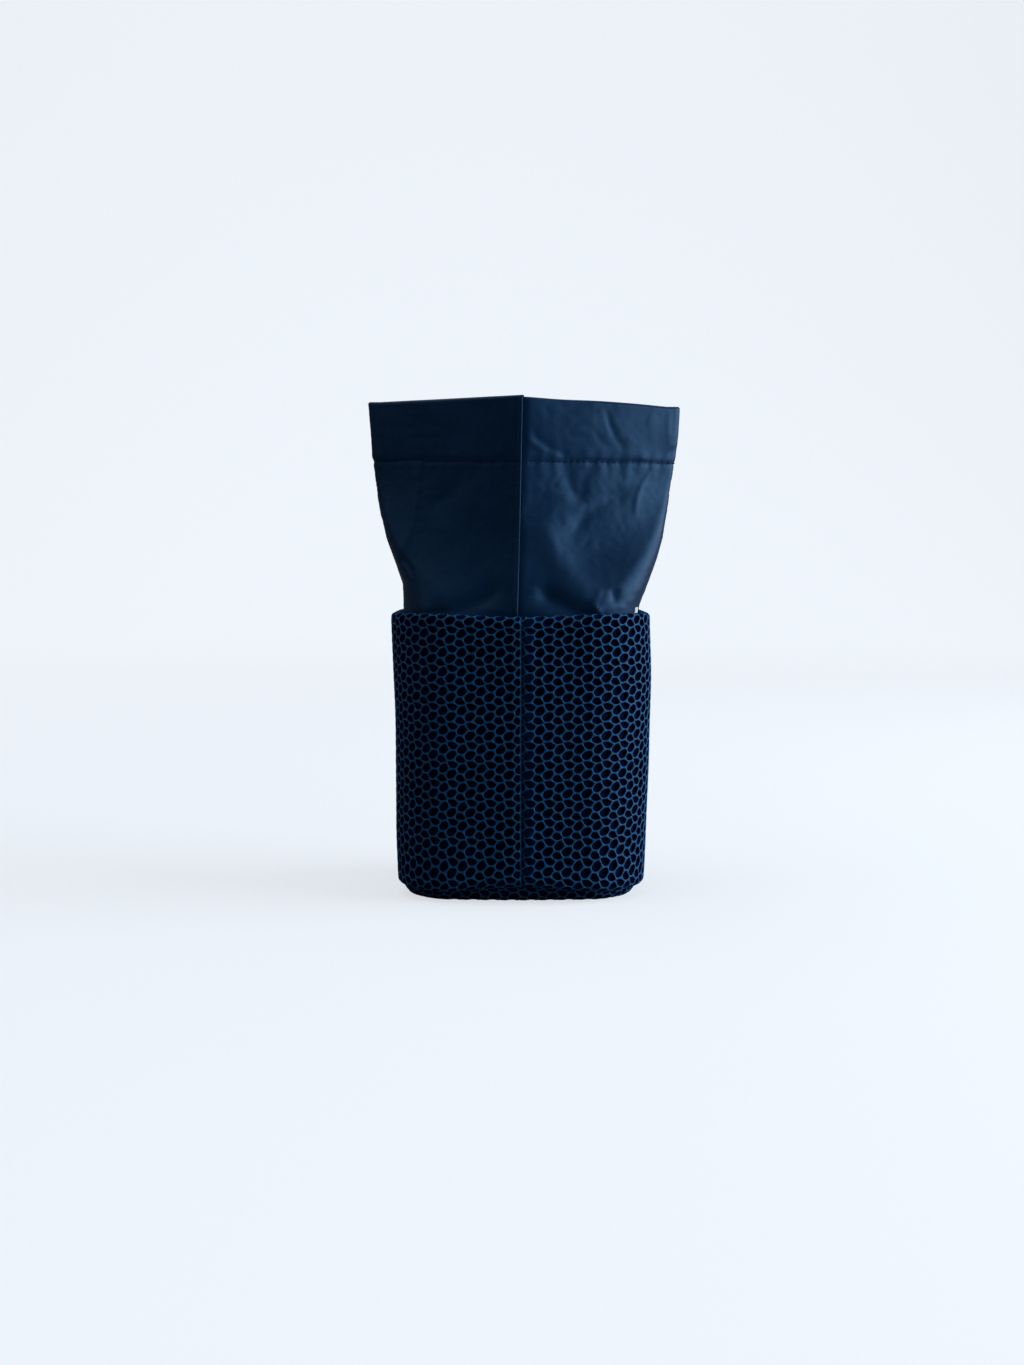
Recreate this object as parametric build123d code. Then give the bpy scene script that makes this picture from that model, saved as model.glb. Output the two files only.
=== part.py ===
"""Standing drawstring pouch: a stiff knitted-mesh cup with a thin nylon lining that rises out of it as a soft collar.

The collar ends in a wide hem, folded into two flat tunnels for a drawcord, one on each side of the pouch.
The tunnels are open at both side seams, which is where the cord comes out. Millimetres, +Z up. The origin is on
the floor, at the middle of the base. The side seams lie in the plane x = 0, at -Y (front end) and +Y (back end).
"""

import math
import os

from build123d import *

# ---- Driving dimensions ----
body_width = 132.0  # mesh cup, across X
body_depth = 120.0  # mesh cup, across Y
corner_radius = 34.0  # of the cup in plan
rim_height = 144.0  # top of the mesh cup
mesh_thickness = 3.0  # knitted spacer mesh, one layer
rim_turn = 22.0  # mesh turned down inside the rim
panel_gap = 0.4  # between the two side panels at a seam
hem_curl = 1.6  # radius at the side panels' lower edge

base_seam_height = 8.0  # the side panels start here
base_edge_radius = 5.0  # the base panel's rounded edge
base_turn_up = 6.0  # the base panel's edge, turned up inside the side panels
base_turn_thickness = 2.2  # the same edge, pressed flat by its stitching
board_thickness = 1.6  # stiffener that keeps the base flat
board_margin = 4.0  # between the board and the base's turned-up edge

cloth = 0.5  # nylon, one layer
nylon_gap = 0.7  # between the turned-in mesh rim and the nylon
collar_tuck = 12.0  # the collar starts this far below the rim
collar_top = 219.0  # underside of the hem
neck_share = 0.12  # lower share of the collar that stays straight before it flares

hem_height = 31.0
hem_width = 157.0  # between the creases at either side
crease_gap = 28.0  # between the two creases on one side
crease_radius = 3.0
ridge_depth = 37.0  # how far a side seam stands out from the creases
tunnel_width = 1.0
tunnel_margin = 2.4  # from the hem's lower edge to the tunnel
hem_cloth = 0.6  # each wall of the tunnel, with its turned edge

tape_width = 12.0
tape_thickness = 0.9
collar_tape_half_width = 4.0
binding_thickness = 1.0

stitch_pitch = 3.4
stitch_length = 2.5
thread_radius = 0.2
hem_stitch_height = 1.6  # stitch row above the hem's lower edge
seam_stitch_offset = 1.6  # the stitch row to the right of a mesh seam
seam_stitch_margin = 5.0  # unstitched length at either end of a mesh seam

label_width = 5.0
label_thickness = 0.35
label_rise = 3.6  # above the rim
label_tuck = 8.0  # below the rim
label_bearing = -20.0  # degrees from +X about the cup's front right corner

clearance = 0.2
end_margin = 1.0  # cutting solids run past what they cut by this much

# ---- Sizes that follow ----
rim_roll = mesh_thickness - clearance  # the mesh turns over the rim in a half round
nylon_offset = 2 * mesh_thickness + nylon_gap  # nylon's outer face, in from the cup's outer face
base_offset = mesh_thickness + clearance  # base panel's outer face, in from the cup's outer face
collar_bottom = rim_height - collar_tuck
hem_top = collar_top + hem_height
turn_bottom = rim_height - rim_turn
base_turn_top = base_seam_height + base_turn_up
board_bottom = mesh_thickness + clearance
lining_floor = board_bottom + board_thickness + clearance


def plan(offset, bottom, top):
    """The cup's plan, drawn in by offset, as a block from bottom to top."""
    outline = RectangleRounded(
        body_width - 2 * offset, body_depth - 2 * offset, corner_radius - offset
    )
    return Pos(0, 0, bottom) * extrude(outline, top - bottom)


def ring(outer_offset, inner_offset, bottom, top):
    """A wall that follows the cup's plan between two offsets."""
    cutter = plan(inner_offset, bottom - end_margin, top + end_margin)
    return plan(outer_offset, bottom, top) - cutter


def side_half(solid, side):
    """The part of a solid at x < 0 (side -1) or x > 0 (side 1), clear of the seam plane."""
    reach = 2 * (body_width + hem_width)
    shift = side * (reach / 2 + panel_gap / 2)
    return solid & (Pos(shift, 0, hem_top / 2) * Box(reach, reach, 2 * hem_top))


def edges_at(solid, height):
    """The edges that lie level at one height."""
    return solid.edges().filter_by_position(Axis.Z, height - 0.01, height + 0.01)


# ---- Mesh cup ----
def mesh_cup():
    """The side of the cup, with its top edge turned down inside."""
    block = plan(0, base_seam_height, rim_height)
    block = fillet(edges_at(block, base_seam_height), hem_curl)
    hollow = plan(mesh_thickness, base_seam_height - end_margin, turn_bottom)
    mouth = plan(2 * mesh_thickness, turn_bottom - end_margin, rim_height + end_margin)
    cup = block - hollow - mouth
    return fillet(edges_at(cup, rim_height), rim_roll)


def mesh_base():
    dish = plan(base_offset, 0, base_turn_top)
    dish = fillet(edges_at(dish, 0), base_edge_radius)
    hollow = plan(base_offset + base_turn_thickness, mesh_thickness, base_turn_top + end_margin)
    return dish - hollow


# ---- Lining, board and tapes ----
def base_board():
    edge = base_offset + base_turn_thickness + board_margin
    return plan(edge, board_bottom, board_bottom + board_thickness)


def lining_base():
    edge = base_offset + base_turn_thickness + binding_thickness + clearance
    return plan(edge, lining_floor, lining_floor + cloth)


def lining_wall():
    return ring(nylon_offset, nylon_offset + cloth, lining_floor + cloth + clearance, collar_bottom - clearance)


def base_binding():
    """A tape folded over the base panel's turned-up edge."""
    bottom = base_turn_top + clearance
    return ring(base_offset, base_offset + base_turn_thickness, bottom, bottom + binding_thickness)


def rim_binding():
    """A tape over the raw edge of the mesh that is turned down inside the rim."""
    top = turn_bottom - clearance
    return ring(mesh_thickness + clearance, 2 * mesh_thickness, top - binding_thickness, top)


def side_tape(end):
    """A flat tape over a side seam, between the mesh and the lining, at the -Y (end -1) or +Y (end 1) seam."""
    bottom = base_turn_top + binding_thickness + 2 * clearance
    top = turn_bottom - binding_thickness - 2 * clearance
    centre = body_depth / 2 - mesh_thickness - clearance - tape_thickness / 2
    tape = Box(tape_width, tape_thickness, top - bottom)
    return Pos(0, end * centre, (bottom + top) / 2) * tape


# ---- Collar and hem: a six-sided plan with a seam at each end and two creases on each side ----
def flare(share):
    """How far the collar has opened from the rim's plan to the hem's, at a share of its height above the rim."""
    if share <= neck_share:
        return 0.0
    return math.sin((share - neck_share) / (1 - neck_share) * math.pi / 2)


def hexagon(height):
    """Half width, the creases' and the seams' distance from the middle, and the crease radius at a height."""
    share = (height - rim_height) / (collar_top - rim_height)
    opened = flare(min(max(share, 0.0), 1.0))
    rim = (
        body_width / 2 - nylon_offset,
        body_depth / 2 - nylon_offset,
        body_depth / 2 - nylon_offset,
        corner_radius - nylon_offset,
    )
    hem = (hem_width / 2, crease_gap / 2, crease_gap / 2 + ridge_depth, crease_radius)
    return [a + (b - a) * opened for a, b in zip(rim, hem)]


def side_path(height, inset, end_x=0.0):
    """The corners of one side's outline, from the -Y seam to the +Y seam, drawn in by inset. The two in the middle
    are the creases."""
    half_width, crease, seam, _ = hexagon(height)
    slope = (seam - crease) / half_width
    drop = inset * math.hypot(1, slope)
    crease_x = half_width - inset
    crease_y = seam - drop - slope * crease_x
    seam_y = seam - drop - slope * end_x
    return [(end_x, -seam_y), (crease_x, -crease_y), (crease_x, crease_y), (end_x, seam_y)]


def rounded_side(height, inset, end_x):
    """Lines and arcs through a side's outline, with its creases rounded."""
    seam_low, crease_low, crease_high, seam_high = side_path(height, inset, end_x)
    radius = max(hexagon(height)[3] - inset, crease_radius / 2)
    return FilletPolyline(
        seam_low, crease_low, crease_high, seam_high, radius=radius
    )


def side_slice(height, outer_inset, inner_inset, end_x):
    """A flat section of one side's wall."""
    outer = rounded_side(height, outer_inset, end_x)
    inner = rounded_side(height, inner_inset, end_x)
    closing = [Line(outer @ 0, inner @ 0), Line(outer @ 1, inner @ 1)]
    face = make_face([*outer.edges(), *inner.edges(), *closing])
    return Pos(0, 0, height) * face


def collar_levels():
    """The heights of the collar's sections: its tuck, the rim, the top of its neck and up its flare."""
    neck = rim_height + neck_share * (collar_top - rim_height)
    steps = [neck + (collar_top - neck) * k / 3 for k in (1, 2)]
    return [collar_bottom, rim_height, neck, *steps, collar_top - clearance]


def collar_panel(side):
    sections = [side_slice(z, 0, cloth, panel_gap / 2) for z in collar_levels()]
    panel = loft(sections, ruled=True)
    return panel if side > 0 else panel.mirror(Plane.YZ)


def collar_tape(end):
    """A narrow tape inside the collar, over the seam at one end."""
    sections = []
    for z in collar_levels():
        half_width, crease, seam, _ = hexagon(z)
        slope = (seam - crease) / half_width
        outer = seam - (cloth + clearance) * math.hypot(1, slope)
        inner = outer - cloth
        wing = slope * collar_tape_half_width
        points = [
            (-collar_tape_half_width, outer - wing),
            (0, outer),
            (collar_tape_half_width, outer - wing),
            (collar_tape_half_width, inner - wing),
            (0, inner),
            (-collar_tape_half_width, inner - wing),
        ]
        outline = Polyline(*[(x, end * y) for x, y in points], close=True)
        sections.append(Pos(0, 0, z) * make_face(outline))
    return loft(sections, ruled=True)


def hem_band(side):
    """One side of the hem, with the flat tunnel that a drawcord runs in, open at both seams."""
    thickness = 2 * hem_cloth + tunnel_width
    band = extrude(side_slice(collar_top, 0, thickness, panel_gap / 2), hem_height)
    tunnel_section = side_slice(
        collar_top, hem_cloth, hem_cloth + tunnel_width, panel_gap / 2 - end_margin
    )
    depth = hem_height - tunnel_margin - hem_cloth
    tunnel = Pos(0, 0, tunnel_margin) * extrude(tunnel_section, depth)
    band -= tunnel
    return band if side > 0 else band.mirror(Plane.YZ)


# ---- Thread and label ----
def stitch(place, direction):
    """One visible stitch, lying along a direction with its middle at a place."""
    return Plane(origin=place, z_dir=direction) * Cylinder(thread_radius, stitch_length)


def hem_stitches():
    """The row that closes the tunnels, on the outside of the hem."""
    lift = thread_radius + clearance / 4
    path = rounded_side(collar_top, -lift, panel_gap / 2)
    length = sum(e.length for e in path.edges())
    count = int(length / stitch_pitch)
    row = []
    for k in range(count):
        u = (k + 0.5) / count
        place, along = path @ u, path % u
        height = collar_top + hem_stitch_height
        row.append(stitch((place.X, place.Y, height), (along.X, along.Y, 0)))
        row.append(stitch((-place.X, place.Y, height), (-along.X, along.Y, 0)))
    return Compound(children=row)


def seam_stitches(end):
    """The row up a mesh seam, just to the right of it as seen from outside."""
    bottom = base_seam_height + seam_stitch_margin
    top = rim_height - seam_stitch_margin
    count = int((top - bottom) / stitch_pitch)
    x = -end * seam_stitch_offset
    y = end * (body_depth / 2 + thread_radius + clearance / 4)
    heights = [bottom + (k + 0.5) * (top - bottom) / count for k in range(count)]
    return Compound(children=[stitch((x, y, z), (0, 0, 1)) for z in heights])


def label_tab():
    """A small woven tab held in the rim seam at the front right corner."""
    bearing = math.radians(label_bearing)
    radius = corner_radius - nylon_offset + nylon_gap / 2
    x = body_width / 2 - corner_radius + radius * math.cos(bearing)
    y = -body_depth / 2 + corner_radius + radius * math.sin(bearing)
    tab = Box(label_thickness, label_width, label_rise + label_tuck)
    middle = rim_height + (label_rise - label_tuck) / 2
    return Pos(x, y, middle) * Rot(0, 0, label_bearing) * tab


def write(name, shape):
    export_step(shape, os.path.join("parts", name + ".step"))


def main():
    os.makedirs("parts", exist_ok=True)
    cup = mesh_cup()
    lining = lining_wall()
    for word, side in (("left", -1), ("right", 1)):
        write(f"mesh_side_{word}", side_half(cup, side))
        write(f"lining_side_{word}", side_half(lining, side))
        write(f"collar_{word}", collar_panel(side))
        write(f"hem_{word}", hem_band(side))
    for word, end in (("front", -1), ("back", 1)):
        write(f"side_seam_tape_{word}", side_tape(end))
        write(f"collar_seam_tape_{word}", collar_tape(end))
        write(f"mesh_seam_stitches_{word}", seam_stitches(end))
    write("mesh_base", mesh_base())
    write("base_board", base_board())
    write("lining_base", lining_base())
    write("base_binding", base_binding())
    write("rim_binding", rim_binding())
    write("hem_stitches", hem_stitches())
    write("label_tab", label_tab())


main()
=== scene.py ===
"""A free-standing drawstring pouch: a cup of knitted spacer mesh, and a thin nylon lining that rises out of
it as a flared collar with a wide hem. Each piece is made by one operator. Lengths are in metres, in the
frame's axes."""

import math
import random

import bmesh
import bpy
from mathutils import Matrix, Vector, noise


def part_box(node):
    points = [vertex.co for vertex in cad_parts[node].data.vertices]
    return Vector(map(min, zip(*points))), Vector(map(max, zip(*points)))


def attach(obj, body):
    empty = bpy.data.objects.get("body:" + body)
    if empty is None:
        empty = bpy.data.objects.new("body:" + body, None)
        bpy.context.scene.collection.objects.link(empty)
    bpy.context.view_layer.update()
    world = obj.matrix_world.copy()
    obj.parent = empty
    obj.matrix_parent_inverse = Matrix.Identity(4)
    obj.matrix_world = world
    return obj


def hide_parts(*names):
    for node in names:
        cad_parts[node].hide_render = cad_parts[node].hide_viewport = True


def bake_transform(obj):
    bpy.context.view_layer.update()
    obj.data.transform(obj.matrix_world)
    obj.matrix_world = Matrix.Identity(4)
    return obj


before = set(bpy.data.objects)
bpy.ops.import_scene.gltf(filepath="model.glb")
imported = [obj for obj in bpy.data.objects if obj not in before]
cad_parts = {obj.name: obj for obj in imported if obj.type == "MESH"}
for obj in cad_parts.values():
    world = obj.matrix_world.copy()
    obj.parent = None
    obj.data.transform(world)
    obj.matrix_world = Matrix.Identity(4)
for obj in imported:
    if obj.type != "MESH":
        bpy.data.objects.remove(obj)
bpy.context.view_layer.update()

bl_info = {
    "name": "Mesh and Nylon Pouch",
    "version": (1, 0, 0),
    "blender": (4, 5, 0),
    "location": "3D View > Sidebar > Pouch",
    "description": "Builds a standing pouch with a knitted-mesh cup and a nylon drawstring collar",
    "category": "Object",
}

MM = 0.001

# ---- Places that come from the frame ----
CUP_LOW, CUP_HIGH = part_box("mesh_side_right")
HEM_LOW, HEM_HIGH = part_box("hem_right")
COLLAR_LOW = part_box("collar_right")[0]
LINING_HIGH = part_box("lining_side_right")[1]
LINING_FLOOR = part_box("lining_base")[1][2]
LABEL_LOW, LABEL_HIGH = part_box("label_tab")

CUP_HALF_X = CUP_HIGH[0]
CUP_HALF_Y = CUP_HIGH[1]
CUP_FOOT = CUP_LOW[2]
RIM = CUP_HIGH[2]
TUCK = COLLAR_LOW[2]
HEM_FOOT = HEM_LOW[2]
HEM_TOP = HEM_HIGH[2]
SEAM_OUT = HEM_HIGH[1]
NYLON_HALF_X = LINING_HIGH[0]
NYLON_HALF_Y = LINING_HIGH[1]
NYLON_INSET = CUP_HALF_Y - NYLON_HALF_Y


# ---- Sizes and colours that a user would change ----
class PouchMeshSettings(bpy.types.PropertyGroup):
    """The knitted spacer mesh of the cup."""

    corner_radius: bpy.props.FloatProperty(
        name="Corner radius", description="Of the cup in plan", default=34 * MM, unit="LENGTH")
    rim_radius: bpy.props.FloatProperty(
        name="Rim radius", description="Where the mesh turns over the rim", default=2.7 * MM, unit="LENGTH")
    repeat_width: bpy.props.FloatProperty(
        name="Repeat width", description="Across two columns of cells", default=9.68 * MM, unit="LENGTH")
    repeat_height: bpy.props.FloatProperty(
        name="Repeat height", description="Up two rows of cells", default=9.53 * MM, unit="LENGTH")
    strand_width: bpy.props.FloatProperty(
        name="Strand width", description="Of the strands between cells", default=0.92 * MM, unit="LENGTH")
    cell_depth: bpy.props.FloatProperty(
        name="Cell depth", description="From a crest to the backing", default=1.9 * MM, unit="LENGTH")
    unevenness: bpy.props.FloatProperty(
        name="Unevenness", description="How far a junction strays", default=0.22 * MM, unit="LENGTH")
    strand_colour: bpy.props.FloatVectorProperty(
        name="Strand colour", description="Of the raised strands", default=(0.0038, 0.048, 0.130),
        size=3, min=0, max=1, subtype="COLOR")
    # The backing colour is partly the knit's own darker backing and partly painted shade: the walls and
    # floors of the cells take it, darker than the strands, where shade falls down in them.
    backing_and_shade_colour: bpy.props.FloatVectorProperty(
        name="Backing and shade colour", description="Of the knit under the cells", default=(0.0006, 0.0075, 0.0300),
        size=3, min=0, max=1, subtype="COLOR")


class PouchNylonSettings(bpy.types.PropertyGroup):
    """The nylon collar, hem and lining."""

    spacing: bpy.props.FloatProperty(
        name="Spacing", description="Between the cloth's rows and columns", default=1.25 * MM, unit="LENGTH")
    thickness: bpy.props.FloatProperty(
        name="Thickness", description="Of the nylon", default=0.3 * MM, unit="LENGTH")
    hem_gap: bpy.props.FloatProperty(
        name="Hem gap", description="Between the hem's two layers", default=1.5 * MM, unit="LENGTH")
    stitch_pitch: bpy.props.FloatProperty(
        name="Stitch pitch", description="From one stitch to the next", default=3.4 * MM, unit="LENGTH")
    colour: bpy.props.FloatVectorProperty(
        name="Colour", description="Of the nylon", default=(0.0017, 0.0120, 0.0370),
        size=3, min=0, max=1, subtype="COLOR")
    thread_colour: bpy.props.FloatVectorProperty(
        name="Thread colour", description="Of the sewing thread", default=(0.0006, 0.003, 0.009),
        size=3, min=0, max=1, subtype="COLOR")


class PouchStageSettings(bpy.types.PropertyGroup):
    """The camera, the lights and the floor."""

    camera_distance: bpy.props.FloatProperty(
        name="Camera distance", description="From the lens to the cup", default=0.909, unit="LENGTH")
    camera_height: bpy.props.FloatProperty(
        name="Camera height", description="Above the floor", default=0.1705, unit="LENGTH")
    camera_pitch: bpy.props.FloatProperty(
        name="Camera pitch", description="Below level", default=math.radians(3.8), subtype="ANGLE")
    lens: bpy.props.FloatProperty(
        name="Lens", description="Focal length on a 36 mm frame", default=48.8, unit="CAMERA")
    key_power: bpy.props.FloatProperty(
        name="Key power", description="Of the large soft light at the right, in watts", default=56.0, min=0)
    top_power: bpy.props.FloatProperty(
        name="Top power", description="Of the soft light above, in watts", default=36.0, min=0)
    fill_power: bpy.props.FloatProperty(
        name="Fill power", description="Of the faint light at the front left, in watts", default=2.2, min=0)
    floor_colour: bpy.props.FloatVectorProperty(
        name="Floor colour", description="Of the floor and backdrop", default=(0.90, 0.945, 1.0),
        size=3, min=0, max=1, subtype="COLOR")


# ---- Small helpers ----
def mix(a, b, share):
    return a + (b - a) * share


def ease(t):
    """0 to 1, smooth at both ends."""
    t = min(max(t, 0.0), 1.0)
    return t * t * (3 - 2 * t)


def through(points, at):
    """A smooth curve through (place, value) points, level beyond its ends."""
    if at <= points[0][0]:
        return points[0][1]
    if at >= points[-1][0]:
        return points[-1][1]
    k = max(i for i, p in enumerate(points) if p[0] <= at)
    (x0, y0), (x1, y1) = points[k], points[k + 1]
    before = points[max(k - 1, 0)]
    after = points[min(k + 2, len(points) - 1)]
    step = x1 - x0
    slope0 = (y1 - before[1]) / (x1 - before[0]) * step
    slope1 = (after[1] - y0) / (after[0] - x0) * step
    t = (at - x0) / step
    rise = y1 - y0
    return y0 + t * (slope0 + t * (3 * rise - 2 * slope0 - slope1 + t * (slope0 + slope1 - 2 * rise)))


def bump(distance, width):
    """1 at no distance, and falling away over a width."""
    return math.exp(-((distance / width) ** 2))


def select_only(obj):
    if bpy.context.object and bpy.context.object.mode != "OBJECT":
        bpy.ops.object.mode_set(mode="OBJECT")
    bpy.ops.object.select_all(action="DESELECT")
    obj.select_set(True)
    bpy.context.view_layer.objects.active = obj


def apply_modifiers(obj):
    select_only(obj)
    for modifier in list(obj.modifiers):
        bpy.ops.object.modifier_apply(modifier=modifier.name)


def named_object(name, mesh):
    obj = bpy.data.objects.new(name, mesh)
    bpy.context.scene.collection.objects.link(obj)
    return obj


def shade_smooth(obj):
    select_only(obj)
    bpy.ops.object.shade_smooth()


# ---- The cup's shape ----
def cup_outline(distance):
    """A point on the cup's outline and its outward direction, a distance round from the front seam: towards
    +X over zero, and towards -X under it."""
    radius = bpy.context.scene.pouch_mesh.corner_radius
    side = 1 if distance >= 0 else -1
    left = abs(distance)
    flat_x = CUP_HALF_X - radius
    flat_y = 2 * (CUP_HALF_Y - radius)
    turn = radius * math.pi / 2
    if left <= flat_x:
        x, y, out_x, out_y = left, -CUP_HALF_Y, 0.0, -1.0
    elif left <= flat_x + turn:
        angle = (left - flat_x) / radius
        out_x, out_y = math.sin(angle), -math.cos(angle)
        x, y = flat_x + radius * out_x, -flat_y / 2 + radius * out_y
    elif left <= flat_x + turn + flat_y:
        x, y, out_x, out_y = CUP_HALF_X, left - flat_x - turn - flat_y / 2, 1.0, 0.0
    elif left <= flat_x + 2 * turn + flat_y:
        angle = (left - flat_x - turn - flat_y) / radius
        out_x, out_y = math.cos(angle), math.sin(angle)
        x, y = flat_x + radius * out_x, flat_y / 2 + radius * out_y
    else:
        x, y, out_x, out_y = 2 * flat_x + 2 * turn + flat_y - left, CUP_HALF_Y, 0.0, 1.0
    return Vector((side * x, y, 0)), Vector((side * out_x, out_y, 0))


def cup_half_length():
    """From the front seam to the back seam, along the outline."""
    radius = bpy.context.scene.pouch_mesh.corner_radius
    return 2 * (CUP_HALF_X - radius) + 2 * (CUP_HALF_Y - radius) + radius * math.pi


CURL_REACH = 6.0 * MM  # how far a side panel's lower edge turns in, to meet the base panel
CURL_HEIGHT = 3.6 * MM  # the same curl, measured up
CURL_LENGTH = math.pi / 2 * math.hypot(CURL_REACH, CURL_HEIGHT) / math.sqrt(2)
INSIDE = 9.0 * MM  # length of mesh that shows inside the rim
FOOT_DIP = 3.2 * MM  # how far the side panels' lower edge dips away from the seams
RIM_DIP = 1.4 * MM  # how far the rim is drawn down at the seams
FACE_SWELL = 4.0 * MM  # how far the front and back swell out at their seams
SWELL_REACH = 52 * MM  # distance from the seams where that ends
SEAM_GROOVE = 1.4 * MM  # depth of the groove that a seam draws beside itself
WALL_WAVE = 0.7 * MM  # how far the wall wanders in and out

# How far the side walls lean in, by height, at the right and at the left
LEAN_RIGHT = ((0.008, 3.0 * MM), (0.028, 2.0 * MM), (0.063, 0.4 * MM), (0.105, -0.4 * MM), (0.144, 0.0))
LEAN_LEFT = ((0.008, 3.0 * MM), (0.028, 2.3 * MM), (0.063, 2.3 * MM), (0.105, 1.3 * MM), (0.144, 0.0))


def swell_at(x):
    """How far the cup's front and back swell out, at a place across from their seams."""
    return FACE_SWELL * math.cos(math.pi / 2 * min(abs(x) / SWELL_REACH, 1)) ** 2


def wall_length():
    """Of a side panel, from its lower edge, over the rim and down inside."""
    rim = bpy.context.scene.pouch_mesh.rim_radius
    return CURL_LENGTH + (RIM - rim - CUP_FOOT - CURL_HEIGHT) + math.pi * rim + INSIDE


def wall_profile(rise):
    """A length up a side panel: its inset from the outline, its height, and its normal's outward and upward
    shares."""
    rim = bpy.context.scene.pouch_mesh.rim_radius
    curl = CURL_LENGTH
    straight = RIM - rim - CUP_FOOT - CURL_HEIGHT
    over = math.pi * rim
    if rise < curl:
        angle = (rise / curl - 1) * math.pi / 2
        out, up = math.cos(angle), math.sin(angle)
        normal = Vector((out / CURL_REACH, up / CURL_HEIGHT)).normalized()
        return CURL_REACH * (1 - out), CUP_FOOT + CURL_HEIGHT * (1 + up), normal.x, normal.y
    if rise < curl + straight:
        return 0.0, CUP_FOOT + CURL_HEIGHT + rise - curl, 1.0, 0.0
    if rise < curl + straight + over:
        angle = (rise - curl - straight) / rim
        out, up = math.cos(angle), math.sin(angle)
        return rim * (1 - out), RIM - rim + rim * up, out, up
    return 2 * rim, RIM - rim - (rise - curl - straight - over), -1.0, 0.0


def right_of_seam(across):
    """Distance to the right of the nearer seam, as seen from outside: under zero at its left."""
    back = cup_half_length() - abs(across)
    return across if abs(across) < back else -math.copysign(back, across)


def place_on_wall(across, rise):
    """A point and normal on the side of the cup, at a place on the flat panel."""
    inset, height, out, up = wall_profile(rise)
    place, outward = cup_outline(across)
    lean = through(LEAN_RIGHT if across > 0 else LEAN_LEFT, height)
    swell = noise.noise(Vector((across * 22, height * 26, 3.0))) * WALL_WAVE
    seam = abs(right_of_seam(across))
    groove = SEAM_GROOVE * bump(right_of_seam(across) - 0.7 * MM, 0.9 * MM)
    point = place - outward * (inset + groove - swell * ease(seam / (12 * MM)))
    point.x -= lean * math.copysign((point.x / CUP_HALF_X) ** 2, point.x)
    point.y += math.copysign(swell_at(point.x), point.y)
    point.z = height - FOOT_DIP * ease(seam / (48 * MM)) * ease(1 - (height - CUP_FOOT) / (22 * MM))
    point.z -= RIM_DIP * ease(1 - seam / (50 * MM)) * ease((height - RIM + 14 * MM) / (12 * MM))
    return point, (outward * out + Vector((0, 0, up))).normalized()


# ---- The knit: four rounded cells in each repeat ----
BACKING = 0.6 * MM  # thickness of the knit behind the cells
KNIT_SEED = 5  # sets the junctions' small strays, so that they are the same each run
SLIVER = 0.02  # a cut cell under this share of a repeat is left flat
# From a crest to a cell's floor: shares of the strand's half width, with shares of the cell's depth
STRAND_PROFILE = ((0.6, 0.1), (0.92, 0.5), (1.0, 1.0))
JUNCTIONS = {
    1: (0.303, 0.341), 2: (0.621, 0.344), 3: (0.719, 0.559), 4: (0.994, 0.609),
    5: (1.114, 0.974), 6: (0.494, 0.867), 7: (0.832, 1.074), 8: (0.17, 0.92),
}
# Each cell's junctions in order, with the repeat that each is in: columns to the right and rows down
CELLS = (
    ((1, 0, 0), (2, 0, 0), (3, 0, 0), (6, 0, 0), (8, 0, 0), (4, -1, 0)),
    ((8, 0, 0), (6, 0, 0), (7, 0, 0), (2, 0, 1), (1, 0, 1), (5, -1, 0)),
    ((3, 0, 0), (4, 0, 0), (8, 1, 0), (5, 0, 0), (7, 0, 0), (6, 0, 0)),
    ((2, 0, 0), (3, 0, 0), (4, 0, 0), (1, 1, 0), (5, 0, -1), (7, 0, -1)),
)


def junction(number, column, row):
    """A junction's place on flat mesh, with the small unevenness of the knit."""
    knit = bpy.context.scene.pouch_mesh
    across, down = JUNCTIONS[number]
    place = Vector(((column + across) * knit.repeat_width, -(row + down) * knit.repeat_height, 0))
    stray = noise.noise_vector(place * 310 + Vector((0.37, 0.71, number)))
    return (place.x + stray.x * knit.unevenness, place.y + stray.y * knit.unevenness)


def area(polygon):
    turned = polygon[1:] + polygon[:1]
    return sum(a[0] * b[1] - a[1] * b[0] for a, b in zip(polygon, turned)) / 2


def clip(polygon, outline):
    """The part of a polygon inside a convex outline that runs anticlockwise."""
    for (ax, ay), (bx, by) in zip(outline, outline[1:] + outline[:1]):
        kept = []
        for p, q in zip(polygon, polygon[1:] + polygon[:1]):
            side_p = (bx - ax) * (p[1] - ay) - (by - ay) * (p[0] - ax)
            side_q = (bx - ax) * (q[1] - ay) - (by - ay) * (q[0] - ax)
            if side_p >= 0:
                kept.append(p)
            if (side_p > 0 > side_q) or (side_p < 0 < side_q):
                share = side_p / (side_p - side_q)
                kept.append((mix(p[0], q[0], share), mix(p[1], q[1], share)))
        polygon = kept
        if len(polygon) < 3:
            return []
    return polygon


def with_middles(polygon):
    """A polygon's corners, and the point halfway along each of its edges."""
    points = []
    for p, q in zip(polygon, polygon[1:] + polygon[:1]):
        points += [p, ((p[0] + q[0]) / 2, (p[1] + q[1]) / 2)]
    return points


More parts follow.
